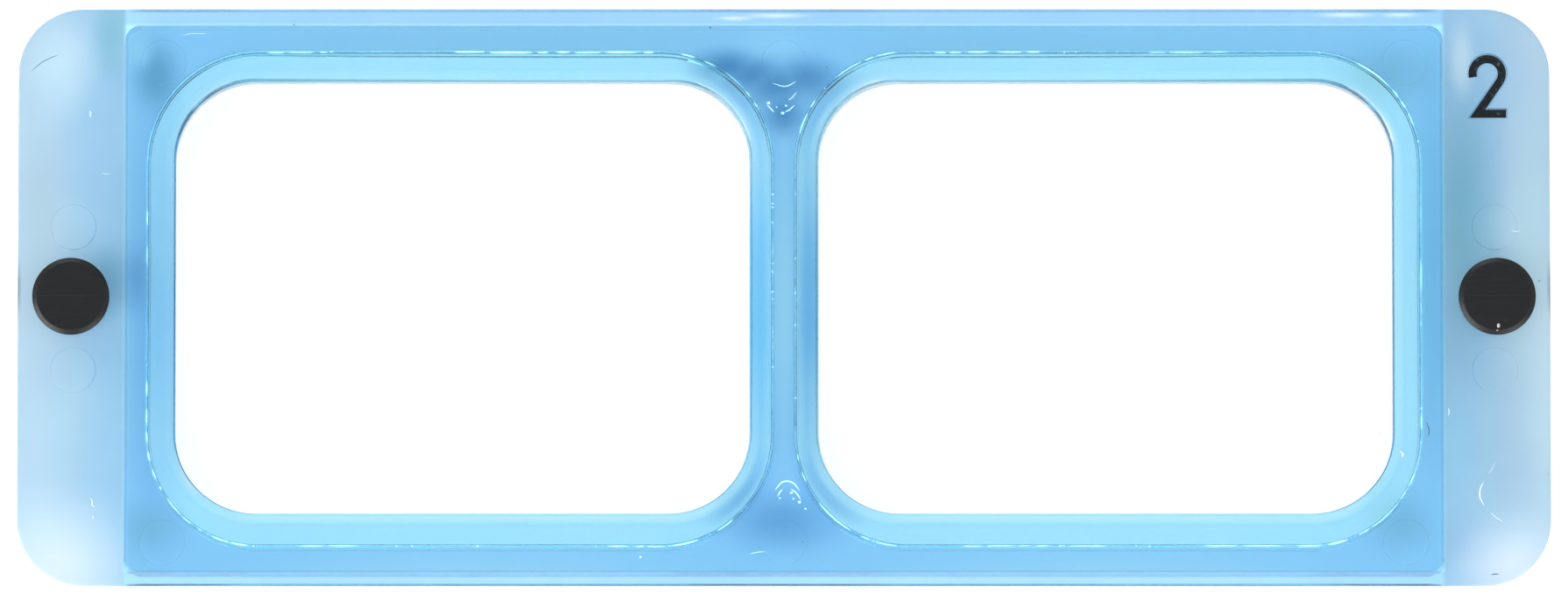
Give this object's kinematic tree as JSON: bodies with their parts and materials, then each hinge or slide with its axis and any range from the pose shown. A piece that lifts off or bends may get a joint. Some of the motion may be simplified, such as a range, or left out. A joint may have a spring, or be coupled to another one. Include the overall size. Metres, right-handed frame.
{
  "type": "magnifier lens plate",
  "caption": "Flat tinted clear plate holding two rounded rectangular magnifying lenses side by side in lipped pockets, with a push rivet at each end for fixing it to a visor.",
  "frame": {"origin": "centre of the back face of the block, which is the centre of the base when the plate lies on its back", "axes": "+X along the plate's length, +Y up its height as worn, +Z out of the front face; left and right are as seen from the front"},
  "size_m": [0.1142, 0.0432, 0.0076],
  "materials": {
    "tinted_plastic": "clear blue-tinted moulded plastic, slightly hazy, glossy, deeper blue where it is thicker",
    "lens_glass": "clear polished crown glass with a finely ground edge",
    "clear_cement": "clear set cement with small bubbles",
    "black_nylon": "moulded black nylon, satin",
    "black_ink": "black marking ink filling a shallow groove"
  },
  "bodies": {
    "plate": {"lens_plate": "tinted_plastic", "strength_numeral": "black_ink", "left_lens": "lens_glass", "left_lens_cement": "clear_cement", "left_rivet_grommet": "black_nylon", "right_lens": "lens_glass", "right_lens_cement": "clear_cement", "right_rivet_grommet": "black_nylon"},
    "left_plunger": {"left_rivet_plunger": "black_nylon"},
    "right_plunger": {"right_rivet_plunger": "black_nylon"}
  },
  "joints": [
    {"name": "left_plunger_pull", "type": "slide", "parent": "plate", "child": "left_plunger", "axis": [0, 0, 1], "range_m": [0, 0.003]},
    {"name": "right_plunger_pull", "type": "slide", "parent": "plate", "child": "right_plunger", "axis": [0, 0, 1], "range_m": [0, 0.003]}
  ]
}
